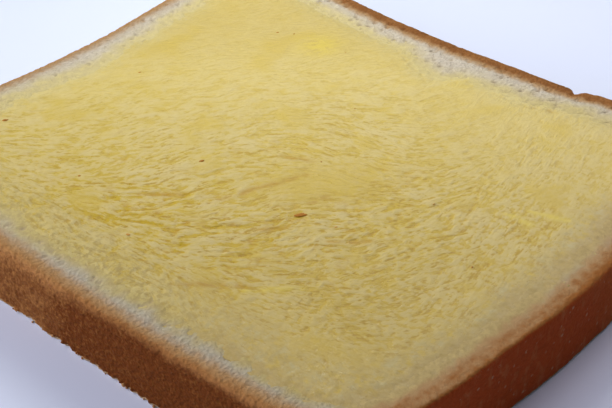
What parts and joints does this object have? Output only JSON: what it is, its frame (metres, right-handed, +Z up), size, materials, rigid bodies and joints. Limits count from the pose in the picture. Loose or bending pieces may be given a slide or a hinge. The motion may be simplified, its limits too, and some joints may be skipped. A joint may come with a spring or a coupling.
{
  "type": "slice of bread with margarine",
  "caption": "Square-cut slice of white tin bread with a browned crust, lying flat, its upper face coated in a thin film of knife-spread margarine.",
  "frame": {"origin": "middle of the box round the slice, on the flat face it lies on", "axes": "+X along the slice's longer side; +Y across it, towards the side with the crease in its crust; +Z up, out of the coated face"},
  "size_m": [0.1226, 0.1061, 0.0162],
  "materials": {
    "bread": "soft white crumb with a browned crust on its four sides; matte",
    "margarine": "pale yellow spread, soft satin sheen, with knife strokes"
  },
  "bodies": {
    "root": {"bread_slice": "bread", "margarine_spread": "margarine"}
  },
  "joints": []
}
